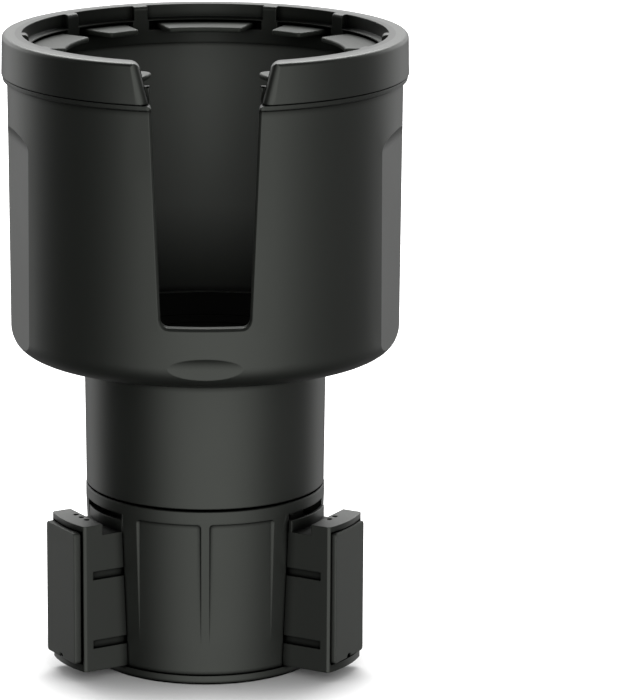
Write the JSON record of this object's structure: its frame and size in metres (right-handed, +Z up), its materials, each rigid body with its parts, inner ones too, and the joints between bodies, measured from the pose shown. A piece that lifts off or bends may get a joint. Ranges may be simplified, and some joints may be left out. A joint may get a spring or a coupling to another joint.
{
  "type": "car cup holder expander",
  "caption": "Large slotted cup with a rim of grip tabs on a narrow neck; its base has three arms that spread to grip a car's cup well.",
  "frame": {"origin": "on the axis of the cup and the foot, at the surface that the foot stands on", "axes": "+Z up along the axis; -Y towards the front, where the handle slot is; +X to the right seen from the front"},
  "size_m": [0.1144, 0.1125, 0.181],
  "materials": {
    "cup_plastic": "satin, near black, slightly greenish grey",
    "rim_plastic": "satin",
    "base_plastic": "satin",
    "arm_plastic": "satin",
    "scroll_plastic": "plain acetal",
    "tab_rubber": "soft, matt",
    "pad_rubber": "soft, matt",
    "mat_rubber": "soft, matt",
    "screw_steel": "zinc plated"
  },
  "bodies": {
    "base": {"base_housing": "base_plastic", "foot_plate": "base_plastic", "foot_screws": "screw_steel", "spindle_bolt": "screw_steel", "spindle_washer": "screw_steel", "spindle_nut": "screw_steel"},
    "cup": {"cup_body": "cup_plastic", "rim_cap": "rim_plastic", "tab_ring": "tab_rubber", "floor_mat": "mat_rubber", "cup_screws": "screw_steel", "neck_sleeve": "cup_plastic", "scroll_disc": "scroll_plastic", "scroll_screws": "screw_steel", "friction_ring": "mat_rubber"},
    "arm_1_set": {"arm_1": "arm_plastic", "pad_1": "pad_rubber"},
    "arm_2_set": {"arm_2": "arm_plastic", "pad_2": "pad_rubber"},
    "arm_3_set": {"arm_3": "arm_plastic", "pad_3": "pad_rubber"}
  },
  "joints": [
    {"name": "cup_turn", "type": "hinge", "parent": "base", "child": "cup", "pos_m": [0, 0, 0.0513], "axis": [0, 0, 1], "range_deg": [0, 1440]},
    {"name": "arm_1_slide", "type": "slide", "parent": "base", "child": "arm_1_set", "axis": [0, 1, 0], "range_m": [-0.01281, 0]},
    {"name": "arm_2_slide", "type": "slide", "parent": "base", "child": "arm_2_set", "axis": [0.866, -0.5, 0], "range_m": [-0.01281, 0]},
    {"name": "arm_3_slide", "type": "slide", "parent": "base", "child": "arm_3_set", "axis": [-0.866, -0.5, 0], "range_m": [-0.01281, 0]}
  ],
  "couplings": [
    {"joint": "arm_1_slide", "follows": "cup_turn", "m_per_rad": -0.0005093},
    {"joint": "arm_2_slide", "follows": "cup_turn", "m_per_rad": -0.0005093},
    {"joint": "arm_3_slide", "follows": "cup_turn", "m_per_rad": -0.0005093}
  ]
}
